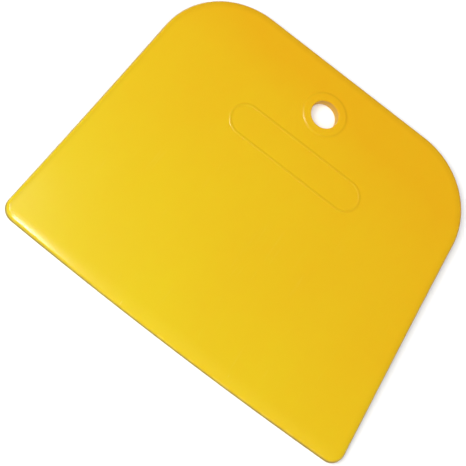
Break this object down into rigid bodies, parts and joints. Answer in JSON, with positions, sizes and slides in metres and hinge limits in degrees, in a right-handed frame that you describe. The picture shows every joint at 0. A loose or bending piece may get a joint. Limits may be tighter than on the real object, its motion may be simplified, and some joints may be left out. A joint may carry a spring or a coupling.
{
  "type": "squeegee applicator",
  "caption": "Flat trapezoidal hand squeegee in flexible plastic, thinned at the working edge, with a collared hanging hole and a raised oval bead.",
  "frame": {"origin": "on the plane of the flat back face, under the middle of the bounding box", "axes": "+X along the working edge, +Y from the working edge to the back edge with the hanging hole, +Z out of the front face"},
  "size_m": [0.0992, 0.0848, 0.0027],
  "materials": {
    "yellow_plastic": "semi-gloss yellow moulded plastic"
  },
  "bodies": {
    "root": {"squeegee_plate": "yellow_plastic"}
  },
  "joints": []
}
